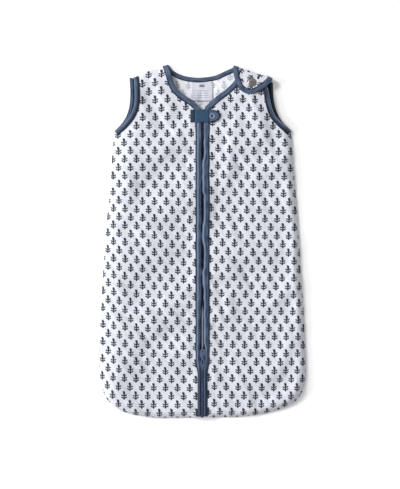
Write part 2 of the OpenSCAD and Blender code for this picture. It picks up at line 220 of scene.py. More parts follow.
SEAM_LEFT = smooth([(-174, 215), (-177.5, 195), (-181.5, 128), (-187.5, 62), (-194, -14), (-200.7, -120),
                    (-204.2, -205), (-204.5, -250), (-200, -288), (-189, -314), (-170, -331), (-143, -342.5),
                    (-95, -349.5), (-50, -350), (-3.5, -350)])
SEAM_RIGHT = smooth([(3.5, -350), (60, -348.5), (100, -345), (140, -337), (170, -326.5), (190, -311),
                     (202, -285), (204.5, -250), (202.7, -196), (198.5, -117), (193.5, -38), (188.5, 41),
                     (182, 128), (177, 195), (175, 215)])
SHOULDER_LEFT = smooth([(-69.6, 349.5), (-82, 344), (-104, 336.5), (-128, 326.5), (-143.5, 323.2)])
SHOULDER_LEFT_FRONT = smooth([(-69.6, 349.5), (-82, 344), (-104, 336.5), (-135.5, 324.6)])
ARM_LEFT_BACK = smooth([(-143.5, 323.2), (-142.1, 291.4), (-145.3, 261.2), (-155.8, 237), (-174, 217)])
ARM_LEFT_FRONT = smooth([(-135.5, 324.6), (-133.4, 291.4), (-136, 264), (-146, 243), (-160, 228),
                         (-174, 217)])
ARM_RIGHT_BACK = smooth([(175, 217), (159, 233.5), (147.5, 253), (140, 280), on_shoulder(85, -FOLD_R)])
ARM_RIGHT_FRONT = smooth([(175, 217), (153.5, 236.5), (141.5, 251), (134, 273.5), (129.5, 298),
                          on_shoulder(72, -STRAP_D)])
NECK_BACK = smooth([on_shoulder(0, -FOLD_R), (44.5, 335.5), (24.7, 327), (0, 323.2), (-24.7, 324),
                    (-44.5, 329), (-60, 338), (-69.6, 349.5)])
NECK_LEFT = smooth([(-3.5, 257), (-12, 269), (-21.5, 277.5), (-41, 290), (-54.6, 304), (-62, 325),
                    (-69.6, 349.5)])
NECK_RIGHT = smooth([on_shoulder(12, -STRAP_D), (65.5, 318), (49.2, 300.7), (27.9, 284.3), (10.5, 268.5),
                     (3.5, 257)])
FLAP_EDGE = smooth([(3.5, -7.1), (8.5, -16), (14.7, -26), (28.1, -40.5), (50, -FLAP_D), (67.6, -29.5),
                    (75.5, -18), (82, -7.1)])


def zip_edge(parted):
    """The right half's edge beside the zip: parted is its distance from the middle above the slider."""
    bulge = smooth([(3.5, -118), (parted, -145), (parted, -196), (parted + 0.8, -204), (7.6, -213),
                    (7.8, -223), (7.6, -233), (4.8, -241), (3.5, -249)])
    return np.vstack([[(3.5, 257)], bulge, [(3.5, -350)]])


ZIP_RIGHT = zip_edge(3.7)
ZIP_LEFT = zip_edge(4.9)[::-1] * [-1, 1]

SIDES = np.vstack([SEAM_LEFT, SEAM_RIGHT[1:]])
BOUND_FRONT = [ZIP_LEFT, ZIP_RIGHT, NECK_LEFT, NECK_RIGHT, ARM_LEFT_FRONT, ARM_RIGHT_FRONT]
BOUND_BACK = [NECK_BACK, ARM_LEFT_BACK, ARM_RIGHT_BACK]


# ---------------------------------------------------------------- how high the cloth lies

def creases(p, angle, length, width, seed):
    """Long soft folds that run along an angle, from about -1 to 1."""
    a = math.radians(angle)
    along = p @ [math.cos(a), math.sin(a)] / length
    across = p @ [-math.sin(a), math.cos(a)] / width
    return 1.6 * wander(np.column_stack([along, across]), seed, 1)


def ridge(p, start, end, width, height):
    """One straight fold in the cloth, which dies out at both ends."""
    a = np.array(start, float)
    d = np.array(end, float) - a
    t = ((p - a) @ d) / (d @ d)
    off = (p - a) @ [-d[1], d[0]] / np.linalg.norm(d)
    return height * hump(off, width) * ease(t * 3) * ease((1 - t) * 3)


def left_folds(p):
    low = ease((60 - p[:, 1]) / 200)
    z = 1.25 * low * creases(p, -44, 150, 17, 3.1)
    z += 1.0 * (1 - low) * creases(p, -58, 120, 22, 7.7)
    z += ridge(p, (-182, -70), (-60, -190), 7, 1.5) + ridge(p, (-178, 20), (-70, -75), 9, 1.1)
    z += ridge(p, (-150, -190), (-40, -300), 7, 1.4) + ridge(p, (-190, -150), (-120, -235), 7, 1.3)
    return z + 0.8 * creases(p, -47, 60, 8, 44.1)


def right_folds(p):
    z = 0.7 * creases(p, -82, 150, 20, 12.4) + 0.5 * creases(p, -60, 110, 24, 15.9)
    z += ridge(p, (92, 290), (165, 95), 11, 1.8) + ridge(p, (60, 250), (44, 60), 10, 1.1)
    z += ridge(p, (120, 40), (140, -180), 12, 1.0)
    return z + 0.6 * creases(p, -64, 55, 8, 47.3)


def under_tab(p, margin=3, fade=14):
    """1 where the neck tab lies over the front, 0 well away from it."""
    low, high = corners("neck_tab")
    gap = np.maximum(np.maximum(low[:2] - p, p - high[:2]), 0)
    return 1 - ease((np.hypot(gap[:, 0], gap[:, 1]) - margin) / fade)


# How far in from its edge the front takes to rise to its full height: at both sides, at the sewn shoulder, at
# the hem, and at the hem beside the placket
LEFT_ROLL, RIGHT_ROLL, SHOULDER_ROLL, HEM_ROLL, PLACKET_ROLL = 44, 16, 26, 15, 5
SHOULDER_Z = EDGE_Z + 2.2
CORNER_Y = -260  # the hem's corners start here
NECK_Y = 250  # the puckers beside the zip end here
# Heights of folds, of puckers at the sides and beside the zip, and how far the tab presses the cloth down
FOLD_H, SIDE_PUCKER_H, ZIP_PUCKER_H, TAB_PRESS = 1.5, 0.9, 1.9, 0.35


def front_height(p):
    """Middle of the front cloth above the floor."""
    from_middle = np.abs(p[:, 0])
    side, along = near(p, SIDES)
    low = ease((CORNER_Y - p[:, 1]) / 60)
    hem_roll = PLACKET_ROLL + (HEM_ROLL - PLACKET_ROLL) * ease((from_middle - 14) / 16)
    side_roll = np.where(p[:, 0] < 0, LEFT_ROLL, RIGHT_ROLL)
    rise = quarter_wave(side, side_roll * (1 - low) + hem_roll * low)
    z = EDGE_Z + PLY + (FRONT_Z - EDGE_Z - PLY) * rise
    from_shoulder = quarter_wave(near(p, SHOULDER_LEFT_FRONT)[0], SHOULDER_ROLL)
    z = np.minimum(z, SHOULDER_Z + (FRONT_Z - SHOULDER_Z) * from_shoulder)
    calm = ease((nearest(p, BOUND_FRONT) - BINDING_W) / 16)
    folds = np.where(p[:, 0] < 0, left_folds(p), right_folds(p))
    pucker = SIDE_PUCKER_H * hump(side, 12) * wander(along, 5.5, 9) * ease(side / 4)
    beside_zip = hump(from_middle - 20, 6.5) * ease((NECK_Y - p[:, 1]) / 20) * rise
    loose = 1 - under_tab(p)
    z += FOLD_H * folds * calm * rise * loose + pucker
    z += ZIP_PUCKER_H * beside_zip * wander(p, 21.3, 13) * loose
    return z - TAB_PRESS * (1 - loose) * ease((from_middle - 8) / 6)


def back_height(p):
    """Middle of the back cloth above the floor."""
    side, _ = near(p, SIDES)
    shoulder, _ = near(p, SHOULDER_LEFT)
    bound = nearest(p, BOUND_BACK)
    z = BACK_Z + BINDING_LIFT * (1 - ease((bound - 8) / 16))
    z += (EDGE_Z - PLY - BACK_Z) * (1 - ease(np.minimum(side, shoulder) / 14))
    inner = ease((np.minimum(side, bound) - 14) / 20)
    return z + inner * (1.1 + 1.1 * creases(p, 78, 60, 12, 31.0))


def on_front(p, h):
    return np.column_stack([p, front_height(p) + h])


def on_back(p, h):
    return np.column_stack([p, back_height(p) + h])


FLAP_PLATE_Z = corners("shoulder_flap")[1][2] - 0.5
BOTTOM_Z = BACK_Z + BINDING_LIFT
ARC_RISE = (FLAP_PLATE_Z - BOTTOM_Z) / 2
ARC_OUT = FOLD_R - 0.5
ARC_L = math.pi * math.sqrt((ARC_RISE ** 2 + ARC_OUT ** 2) / 2)


def on_flap(p, h):
    """The flap's cloth: p is (along the fold, across), where across runs from -ARC_L at the back, over the
    fold to 0, and on down the front."""
    across = p[:, 1]
    angle = np.clip(across / ARC_L, -1, 0) * math.pi + math.pi / 2
    out = -FOLD_R + np.where(across > 0, -across, (ARC_OUT + h) * np.cos(angle))
    bump = 0.5 * ease(across / 12) * wander(p, 41.0, 13)
    z = (BOTTOM_Z + FLAP_PLATE_Z) / 2 + (ARC_RISE + h) * np.sin(angle) + bump
    return np.column_stack([SHOULDER + p[:, :1] * ALONG + out[:, None] * OUT, z])


# ---------------------------------------------------------------- meshes

class Piece:
    """Points, faces, flat-cut coordinates and materials that become one object."""

    def __init__(self):
        self.co, self.faces, self.uv, self.mat, self.n = [], [], [], [], 0

    def add(self, co, faces, uv, mat=0):
        """mat is one material's number or one number for each face."""
        self.co.append(np.asarray(co, float))
        self.uv.append(np.asarray(uv, float))
        self.faces += [tuple(int(i) + self.n for i in f) for f in faces]
        self.mat += [mat] * len(faces) if np.isscalar(mat) else list(mat)
        self.n += len(co)

    def build(self, name, materials):
        mesh = bpy.data.meshes.new(name)
        mesh.from_pydata((np.vstack(self.co) * MM).tolist(), [], self.faces)
        layer = mesh.uv_layers.new(name="cut")
        loops = np.zeros(len(mesh.loops), np.int32)
        mesh.loops.foreach_get("vertex_index", loops)
        layer.data.foreach_set("uv", np.vstack(self.uv)[loops].ravel())
        for m in materials:
            mesh.materials.append(m)
        mesh.polygons.foreach_set("material_index", np.array(self.mat, np.int32))
        mesh.polygons.foreach_set("use_smooth", np.ones(len(mesh.polygons), bool))
        mesh.validate()
        mesh.update()
        obj = bpy.data.objects.new(name, mesh)
        bpy.context.scene.collection.objects.link(obj)
        return obj


def ring_faces(rows, columns, closed=True):
    """Quads between rows of points; closed joins the last point of each row to its first."""
    out = []
    for i in range(rows - 1):
        for j in range(columns if closed else columns - 1):
            a, b = i * columns + j, i * columns + (j + 1) % columns
            out.append((a, b, b + columns, a + columns))
    return out


def sleeve(rows, columns):
    """Faces of a closed tube with both its ends."""
    last = (rows - 1) * columns
    return ring_faces(rows, columns) + [tuple(range(columns))[::-1], tuple(range(last, last + columns))]


def flipped(faces):
    return [f[::-1] for f in faces]


ROW_SHARE = 0.866  # rows of even triangles lie this share of a step apart


def tiled(outline, step):
    """Even triangles that fill an outline, whose own points are kept."""
    outline = np.asarray(outline, float)
    low, high = outline.min(0), outline.max(0)
    rows = np.arange(low[1], high[1], step * ROW_SHARE)
    grid = np.array([(x + (step / 2 if i % 2 else 0), y) for i, y in enumerate(rows)
                     for x in np.arange(low[0], high[0], step)])
    grid = grid[inside(grid, outline)]
    grid = grid[near(grid, looped(outline))[0] > 0.55 * step]
    points = np.vstack([outline, grid])
    made = delaunay_2d_cdt([Vector(p) for p in points], [], [list(range(len(outline)))], 1, 1e-4)
    return np.array([tuple(v) for v in made[0]]), [tuple(f) for f in made[2]]


def border(faces):
    """The directed edges that only one face has."""
    edges = {(f[i], f[(i + 1) % len(f)]) for f in faces for i in range(len(f))}
    return [e for e in edges if (e[1], e[0]) not in edges]


def normals(co, faces):
    f = np.array(faces)
    n = np.cross(co[f[:, 1]] - co[f[:, 0]], co[f[:, 2]] - co[f[:, 0]])
    out = np.zeros_like(co)
    for i in range(3):
        np.add.at(out, f[:, i], n)
    return out / np.maximum(np.linalg.norm(out, axis=1)[:, None], 1e-12)


def two_faced(piece, top, bottom, faces, uv, inner=0):
    """A sheet with a top, a bottom in the inner material, and a rim between them."""
    count = len(top)
    under = [tuple(i + count for i in f) for f in flipped(faces)]
    rim = [(a, a + count, b + count, b) for a, b in border(faces)]
    piece.add(np.vstack([top, bottom]), list(faces) + under + rim, np.vstack([uv, uv]),
              [0] * len(faces) + [inner] * len(under) + [0] * len(rim))


def thick_cloth(name, middle, faces, uv, thickness, outer, inner):
    """A sheet with an outer face, an inner face and a rim."""
    half = normals(middle, faces) * thickness / 2
    piece = Piece()
    two_faced(piece, middle + half, middle - half, faces, uv, inner=1)
    return piece.build(name, [outer, inner])


def grid_cloth(name, xs, ys, height, thickness, material, origin=(0, 0)):
    """A rectangle of cloth whose middle lies at a height; its cut coordinates count from the origin."""
    grid = np.array([(x, y) for y in ys for x in xs])
    top, bottom = (np.column_stack([grid, height(grid) + side * thickness / 2]) for side in (1, -1))
    piece = Piece()
    two_faced(piece, top, bottom, ring_faces(len(ys), len(xs), closed=False), grid - origin)
    return piece.build(name, [material])


def tube(piece, path, radii, uv=None, mat=0, sides=8, squeeze=1.0):
    """A round or flattened tube along a line in space."""
    t = headings(path)
    across = np.column_stack([-t[:, 1], t[:, 0], t[:, 2] * 0])
    across /= np.maximum(np.linalg.norm(across, axis=1)[:, None], 1e-9)
    up = np.cross(t, across)
    radii = np.broadcast_to(np.asarray(radii, float), len(path))[:, None]
    turns = 2 * math.pi * np.arange(sides) / sides
    co = np.stack([path + radii * (across * math.cos(a) + up * math.sin(a) * squeeze) for a in turns], 1)
    co = co.reshape(-1, 3)
    uv = co[:, :2] if uv is None else np.repeat(uv, sides, axis=0)
    piece.add(co, flipped(sleeve(len(path), sides)), uv, mat)


# Points along one stitch: share of its length, height and share of its thickness
STITCH = np.array([(-0.5, -0.35, 0.5), (-0.36, 0.05, 1), (0, 0.2, 1.05), (0.36, 0.05, 1), (0.5, -0.35, 0.5)])


def stitches(piece, line, place, height, long=2.4, gap=1.0, radius=0.24, mat=1):
    """A row of short thread loops that lie on a sheet."""
    s = arc_lengths(line)
    height = np.broadcast_to(height, s.shape)
    share, lift, thick = STITCH.T
    for start in np.arange(0.8, s[-1] - long, long + gap):
        at = start + long / 2 + share * long
        flat = np.column_stack([np.interp(at, s, line[:, i]) for i in (0, 1)])
        tube(piece, place(flat, np.interp(at, s, height) + lift), thick * radius, mat=mat, sides=6)


# Share of the binding's width and height of the upper leaf, from the sewn edge to the fold
LEAF = ([(1.0, 0.15), (0.985, 0.75), (0.93, 0.95), (0.87, 0.42), (0.81, 0.98), (0.74, 1.0)]
        + [(share, 1.0) for share in (0.66, 0.58, 0.5, 0.42, 0.34, 0.26, 0.18)] + [(0.1, 0.95), (0.0, 0.62)])
STITCH_SHARE = 0.87


def bias_strip(piece, path, place, width=BINDING_W, puff=0.45, cloth_t=FRONT_T, seed=0.0, wobble=None,
               under=0.8, crown=1.0, lumps=0.55):
    """Folded binding over the edge of a sheet: path is the edge, with the cloth on its left.

    puff is how far the upper leaf bulges, crown above 1 moves the bulge towards the fold, and lumps makes it
    uneven. wobble moves the fold to and fro. under is the lower leaf's height as a share of the upper one's.
    """
    path = spaced(path, 2.2)
    s = arc_lengths(path)
    side = left_of(headings(path))
    width = width(path) if callable(width) else np.full(len(s), float(width))
    shift = wobble(path) if wobble else np.zeros(len(s))
    puff = puff(path) if callable(puff) else puff
    gather = wander(s, seed + 0.37, 7.5)
    ripple = wander(s, seed + 9.1, 3.2)
    half = cloth_t / 2

    def across(share):
        return -WEB + share * (width + WEB) + (1 - share) * shift

    columns = []
    for k, (share, lift) in enumerate(LEAF):
        bulge = math.sin(math.pi * min(1, max(0, (1 - share) / 0.86)) ** crown) ** 0.8
        uneven = 0.25 * ripple if k < 3 else 0
        top = half + LEAF_T * lift + bulge * puff * (1 + lumps * gather) + 0.12 * ripple * bulge
        columns.append((share, across(share) + uneven, top))
    columns.append((-0.03, -WEB + shift - 0.35, np.full(len(s), 0.3 * half)))
    for share, lift in LEAF[::-1][::2]:
        columns.append((share, across(share), np.full(len(s), -half - LEAF_T * lift * under)))
    co = np.stack([place(path + side * out[:, None], high) for _, out, high in columns], 1)
    uv = np.stack([np.column_stack([s + seed * 31, np.full(len(s), share)]) for share, _, _ in columns], 1)
    piece.add(co.reshape(-1, 3), flipped(sleeve(len(s), len(columns))), uv.reshape(-1, 2))
    inset = width * STITCH_SHARE - WEB * (1 - STITCH_SHARE)
    stitches(piece, path + side * inset[:, None], place, half + LEAF_T * 0.72 + 0.1)


# ---------------------------------------------------------------- materials

class Value:
    """A shader node's output, so that sums and products of outputs read as plain arithmetic."""

    def __init__(self, shader, socket):
        self.shader, self.socket = shader, socket

    def math(self, operation, other=0.0):
        return self.shader.math(operation, self, other)

    def __add__(self, other):
        return self.math("ADD", other)

    def __sub__(self, other):
        return self.math("SUBTRACT", other)

    def __rsub__(self, other):
        return self.shader.math("SUBTRACT", other, self)

    def __mul__(self, other):
        return self.math("MULTIPLY", other)

    def __truediv__(self, other):
        return self.math("DIVIDE", other)

    def __abs__(self):
        return self.math("ABSOLUTE")

    def most(self, other):
        return self.math("MAXIMUM", other)


class Shader:
    """A material's node tree, with short calls for the nodes that it needs."""

    def __init__(self, name, roughness=0.85, metallic=0.0, sheen=0.0, specular=0.3):
        self.material = bpy.data.materials.new(name)
        self.material.use_nodes = True
        self.tree = self.material.node_tree
        self.bsdf = self.tree.nodes["Principled BSDF"]
        for key, value in {"Roughness": roughness, "Metallic": metallic, "Specular IOR Level": specular,
                           "Sheen Weight": sheen, "Sheen Roughness": 0.4}.items():
            self.put(self.bsdf.inputs[key], value)

    def put(self, socket, value):
        """Links an output to a socket, or sets the socket's own value."""
        if isinstance(value, Value):
            self.tree.links.new(value.socket, socket)
        elif socket.type == "RGBA":
            socket.default_value = (*value, 1)
        else:
            socket.default_value = value

    def node(self, kind, inputs=(), **settings):
        n = self.tree.nodes.new(kind)
        for key, value in settings.items():
            setattr(n, key, value)
        for key, value in dict(inputs).items():
            self.put(n.inputs[key], value)
        return n

    def out(self, kind, inputs=(), which=0, **settings):
        """A new node's output."""
        return Value(self, self.node(kind, inputs, **settings).outputs[which])

    def math(self, operation, a, b=0.0):
        return self.out("ShaderNodeMath", {0: a, 1: b}, operation=operation)

    def far(self, u, v):
        return (u * u + v * v).math("SQRT")

    def step(self, value, low, high):
        """0 at low and 1 at high, with a soft change between them; low may be the greater of the two."""
        return self.out("ShaderNodeMapRange", {0: value, 1: low, 2: high, 3: 0.0, 4: 1.0},
                        interpolation_type="SMOOTHSTEP")

    def within(self, value, low, high, soft=0.5):
        """1 from low to high, with soft ends."""
        return self.step(value, low, low + soft) * self.step(value, high, high - soft)

    def mix(self, share, a, b):
        return self.out("ShaderNodeMix", {0: share, 6: a, 7: b}, which=2, data_type="RGBA")

    def parts(self, vector):
        """The x and the y of a vector."""
        n = self.node("ShaderNodeSeparateXYZ", {0: vector})
        return Value(self, n.outputs[0]), Value(self, n.outputs[1])

    def cut(self):
        """Flat-cut coordinates: the first, the second, and both as a vector."""
        uv = self.out("ShaderNodeUVMap", uv_map="cut")
        return *self.parts(uv), uv

    def place(self, kind="Object"):
        return self.out("ShaderNodeTexCoord", which=kind)

    def noise(self, vector, scale, detail=2.0, stretch=None):
        """Cloudy noise; stretch first multiplies the vector's parts, so that its grain is longer one way."""
        if stretch:
            vector = self.out("ShaderNodeVectorMath", {0: vector, 1: stretch}, operation="MULTIPLY")
        inputs = {"Vector": vector, "Scale": scale, "Detail": detail}
        return self.out("ShaderNodeTexNoise", inputs, which="Fac")

    def patches(self, vector, scale, a, b, detail=3, edges=(0.3, 0.75)):
        """Two colours in soft patches."""
        return self.mix(self.step(self.noise(vector, scale, detail), *edges), a, b)

    def wave(self, vector, direction, scale, distortion=0.0, detail=2.0, detail_scale=1.0):
        return self.out("ShaderNodeTexWave", {
            "Vector": vector, "Scale": scale, "Distortion": distortion, "Detail": detail,
            "Detail Scale": detail_scale}, which="Fac", wave_type="BANDS", bands_direction=direction)

    def weave(self, uv, thread=0.42):
        """Height of a plain weave: crossing threads with slubs."""
        x, y = (self.wave(uv, way, 0.314 / thread, 0.6, 1.0, 0.4) for way in "XY")
        return x + y

    def bump(self, height, distance, strength=1.0):
        self.put(self.bsdf.inputs["Normal"], self.out(
            "ShaderNodeBump", {"Height": height, "Distance": distance, "Strength": strength}))

    def colour(self, value):
        self.put(self.bsdf.inputs["Base Color"], value)


def shade(colour, factor):
    return tuple(factor * part for part in colour)


PITCH = (23.5, 16.8)  # between two sprigs of a row, and between rows
CLOTH = (0.800, 0.820, 0.900)
INK = (0.011, 0.013, 0.026)
# The binding's dye on its body; a darker colour for its mottling, for its painted shade at the fold and the
# sewn edge and for its darkening down the bag; and a lighter colour for its streaks and, brighter still, its
# painted highlight
DYES = (0.030, 0.054, 0.105), (0.003, 0.008, 0.024), (0.148, 0.198, 0.298)
# Heights, in metres, between which the binding grows darker on the way down the bag, and between which the
# zip's teeth lose their painted shade and show their own pale colour on the way down
DARKER_DOWN_Y = (-0.242, -0.262)
UNSHADED_TEETH_Y = (-0.122, -0.145)
TAB_LEAF_X = 28.0  # where the tab's leaf, which carries the snap, starts from the tab's hinge


def sprigs(sh, x, y):
    """1 on a small printed sprig and 0 on the cloth, and a number from 0 to 1 for each sprig.

    A sprig is a bud on a stem with two pairs of leaves. Every other row is moved by half a step.
    """
    row = (y / PITCH[1] + 0.5).math("FLOOR")
    odd = (row * 0.5).math("FRACT")
    column = x / PITCH[0] - odd
    own_column = (column + 0.5).math("FLOOR")
    lx = (column - own_column) * PITCH[0]
    ly = y - row * PITCH[1]
    away = abs(lx)
    bent = ly - (lx * lx * 0.05 + lx * 0.06)

    def ellipse(px, py, at, size, turn=0.0):
        """About how far a place lies outside an ellipse; below 0 inside it."""
        c, s = math.cos(math.radians(turn)), math.sin(math.radians(turn))
        dx, dy = px - at[0], py - at[1]
        u = dx * (c / size[0]) + dy * (s / size[0])
        v = dy * (c / size[1]) - dx * (s / size[1])
        return (sh.far(u, v) - 1.0) * min(size)

    shapes = [ellipse(lx, ly, (-0.25, 4.9), (2.2, 3.6), 18), ellipse(lx, ly, (-1.25, 7.0), (1.35, 1.5)),
              ellipse(lx, ly, (0.1, 1.3), (1.35, 2.3)), ellipse(lx, ly, (0.0, -6.9), (1.25, 1.9)),
              (away - 0.95).most(abs(ly + 2.2) - 5.2)]
    for low in (-0.7, -5.0):
        shapes += [ellipse(away, bent, (3.7, low), (1.9, 1.25)),
                   ellipse(away, bent, (1.9, low - 0.2), (2.2, 0.95))]
    gap = shapes[0]
    for shape in shapes[1:]:
        gap = gap.math("MINIMUM", shape)
    # a well-known hash of two whole numbers: the fraction of a large sine
    own = ((row * 12.9898 + own_column * 78.233).math("SINE") * 43.7).math("FRACT")
    return sh.step(gap, 0.56, 0.02), own


def printed_cotton(name, ink_share, base=CLOTH, ink=INK, relief_depth=0.0019):
    """Crinkled plain weave with a block print; ink_share is how strongly the print shows."""
    sh = Shader(name, roughness=0.9, sheen=0.12, specular=0.2)
    x, y, uv = sh.cut()
    printed, own = sprigs(sh, x, y)
    ground = sh.patches(uv, 0.03, shade(base, 0.955), base, edges=(0.3, 0.7))
    slub = sh.step(sh.noise(uv, 0.5, 2, stretch=(0.5, 4.0, 1)), 0.35, 0.75)
    ground = sh.mix(slub * 0.10, ground, shade(base, 0.82))
    turned = sh.out("ShaderNodeVectorRotate", {"Vector": uv, "Angle": math.radians(47)},
                    rotation_type="Z_AXIS")
    crinkle = sh.noise(turned, 1.0, 3, stretch=(0.055, 0.19, 1))
    # Painted shade in the crinkles' valleys
    ground = sh.mix(sh.step(crinkle, 0.60, 0.38) * 0.5, ground, shade(base, 0.86))
    faded = sh.mix(own * 0.14, ink, tuple(part * 2.2 + 0.01 for part in ink))
    patchy = sh.step(sh.noise(uv, 1.4, 2), 0.12, 0.34) * ink_share
    sh.colour(sh.mix(printed * patchy, ground, faded))
    fine = sh.noise(uv, 1.0, 2, stretch=(0.30, 0.42, 1))
    sh.bump(sh.weave(uv) * 0.08 + fine * 0.3 + crinkle, relief_depth, 0.9)
    return sh.material


def bound_cloth(name, strength=1.0, worn_and_lit=(0.5, 0.3), highlight=0.0, dark_from=(0.73, 0.82)):
    """Binding, whose cut coordinates are the length along it and the share of its width from the fold.

    It is darker at its fold and, from dark_from on, at its sewn edge: painted shade where the fold rolls
    under and in the stitched ditch at the sewn edge. It has a painted highlight, a lighter band given by its
    middle and half width, where its roll faces the light. Below the zip's slider it is darker.
    """
    middle, edge, light = (shade(dye, strength) for dye in DYES)
    sh = Shader(name, roughness=0.8, sheen=0.08, specular=0.25)
    along, share, _ = sh.cut()
    band = sh.out("ShaderNodeCombineXYZ", {0: along, 1: share * BINDING_W})
    streak = sh.step(sh.noise(band, 1.0, 2, stretch=(0.05, 0.5, 1)), 0.40, 0.64)
    body = sh.mix(streak * 0.6 + 0.15, middle, light)
    # Painted highlight: a lighter band where the binding's roll faces the light
    highlight_here = sh.step(abs(share - worn_and_lit[0]), worn_and_lit[1], 0.0)
    body = sh.mix(highlight_here * highlight, body, shade(light, 1.5))
    body = sh.mix(sh.noise(band, 0.9, 3) * 0.35, body, edge)
    # Painted shade where the fold rolls under and, from dark_from on, in the stitched ditch at the sewn edge;
    # on the back armhole strips it is the front strip's painted shadow
    fold = sh.step(share, 0.07, -0.03)
    rim = 1.0 - sh.step(share, 0.92, 0.98) * 0.2
    sewn = sh.step(share, *dark_from) * rim
    _, up_the_bag = sh.parts(sh.place())
    # Darker down the bag, from below the zip's slider
    darker_down = sh.step(up_the_bag, *DARKER_DOWN_Y) * 0.55
    sh.colour(sh.mix((fold.most(sewn) * 0.92).most(darker_down), body, edge))
    sh.bump(sh.wave(band, "DIAGONAL", 0.62, 0.8), 0.00015, 0.3)
    return sh.material


def dyed_cloth(name, dark, light, thread):
    sh = Shader(name, roughness=0.85, sheen=0.2, specular=0.25)
    _, _, uv = sh.cut()
    sh.colour(sh.patches(uv, 0.35, dark, light))
    sh.bump(sh.weave(uv, thread), 0.00015, 0.7)
    return sh.material


def tab_cloth():
    """The tab: smooth twill, paler on its leaf, with dark sewn edges."""
    sh = Shader("tab_cloth", roughness=0.75, sheen=0.05, specular=0.3)
    x, y, uv = sh.cut()
    leaf = sh.step(x, TAB_LEAF_X - 1.5, TAB_LEAF_X + 0.5)
    main = sh.patches(uv, 0.22, (0.016, 0.052, 0.106), (0.029, 0.076, 0.140))
    paler = sh.patches(uv, 0.3, (0.040, 0.072, 0.130), (0.080, 0.130, 0.215), edges=(0.3, 0.7))
    out = sh.far((x - (TAB_LEAF_X + 2)).most(0.0) / 19.5, y / 12.4)
    rim = sh.step(out, 0.74, 0.94) * leaf
    groove = sh.step(abs(x - (TAB_LEAF_X - 0.7)), 1.5, 0.5)
    sh.colour(sh.mix(rim.most(groove) * 0.85, sh.mix(leaf, main, paler), (0.006, 0.014, 0.034)))
    sh.bump(sh.wave(uv, "DIAGONAL", 0.7), 0.00012, 0.6)
    return sh.material


NYLON_GRAIN = 0.00003


def nylon(name, dark, light, roughness=0.4):
    sh = Shader(name, roughness=roughness, specular=0.5)
    sh.colour(sh.patches(sh.place(), 900, dark, light, 2, (0.35, 0.65)))
    sh.bump(sh.noise(sh.place(), 4000, 2), NYLON_GRAIN, 0.5)
    return sh.material


def coil_nylon():
    """The zip's teeth: painted near black with the shade of the deep gap between the lips, and in their own
    pale colour down the middle above the closed slider.
    """
    sh = Shader("zip_nylon", roughness=0.6, specular=0.15)
    x, y = sh.parts(sh.place())
    middle = sh.step(abs(x + 0.0003), 0.0021, 0.0011)
    worn_and_lit = sh.step(y, *UNSHADED_TEETH_Y) * middle
    grain = sh.noise(sh.place(), 900, 2)
    # Painted shade: the teeth in the deep gap between the lips, painted near black
    dark = sh.mix(grain, (0.002, 0.004, 0.011), (0.006, 0.010, 0.024))
    pale = sh.mix(grain, (0.20, 0.25, 0.34), (0.52, 0.57, 0.68))
    sh.colour(sh.mix(worn_and_lit, dark, pale))
    sh.bump(sh.noise(sh.place(), 4000, 2), NYLON_GRAIN, 0.5)
    return sh.material


def scratches(sh):
    return sh.noise(sh.place(), 1.0, 3, stretch=(9000, 1500, 1500))


def metal(name, dark, light, roughness, brushed=0.5):
    """Plated metal with fine scratches, duller where it is rubbed."""
    sh = Shader(name, roughness=roughness, metallic=1.0, specular=0.5)
    sh.colour(sh.patches(sh.place(), 260, dark, light, edges=(0.3, 0.7)))
    sh.put(sh.bsdf.inputs["Roughness"], scratches(sh) * 0.22 + (roughness - 0.08))
    sh.bump(scratches(sh), 0.00004, brushed)
    return sh.material


def ring_metal():
    """The tab snap's top: a bright rim round a dull, sunk middle."""
    sh = Shader("snap_ring", roughness=0.28, metallic=1.0, specular=0.5)
    x, y = sh.parts(sh.place("Generated"))
    rim = sh.step(sh.far(x - 0.5, y - 0.5), 0.25, 0.33)
    worn_and_lit = sh.step(sh.noise(sh.place(), 300, 3), 0.3, 0.7)
    bright = sh.mix(worn_and_lit, (0.48, 0.56, 0.72), (0.82, 0.90, 1.0))
    dull = sh.mix(worn_and_lit, (0.05, 0.08, 0.15), (0.12, 0.17, 0.28))
    sh.colour(sh.mix(rim, dull, bright))
    sh.bump(scratches(sh), 0.00004, 0.5)
    return sh.material


def label_cloth():
    """Woven satin label with plain printed bars and no lettering."""
    sh = Shader("label_cloth", roughness=0.55, sheen=0.1, specular=0.4)
    x, y, uv = sh.cut()
    bar = sh.within((y / 4.6).math("FRACT"), 0.36, 0.64, 0.06)
    text_area = sh.within(x, 5.0, 38.5, 0.6) * sh.within(y, 3.0, 24.0)
    broken = sh.step(sh.noise(uv, 1.0, 1, stretch=(0.28, 0.02, 1)), 0.40, 0.46)
    block = sh.within(x, 16.5, 27.5) * sh.within(y, 27.5, 33.0)
    hem = sh.step(y, 36.0, 36.4).most(sh.step(y, 1.2, 0.8))
    marks = (bar * text_area * broken * 0.8).most(block * 0.9).most(hem * 0.4)
    base = sh.patches(uv, 0.1, (0.58, 0.59, 0.675), (0.64, 0.65, 0.73), 2, (0.3, 0.7))
    sh.colour(sh.mix(marks, base, (0.13, 0.14, 0.18)))
    sh.bump(sh.weave(uv, 0.25), 0.00008, 0.5)
    return sh.material


OUTSIDE = printed_cotton("printed_cotton", 0.97)
WRONG_SIDE = printed_cotton("wrong_side_cotton", 0.5, (0.92, 0.93, 0.98), (0.13, 0.18, 0.29), 0.0008)
BINDING = bound_cloth("bias_binding")
# Front armhole strips: painted highlight along the fold, painted shade from about the middle to the sewn edge
ARM_FRONT = bound_cloth("arm_binding_front", 0.78, worn_and_lit=(0.11, 0.11), highlight=1.0, dark_from=(0.46, 0.72))
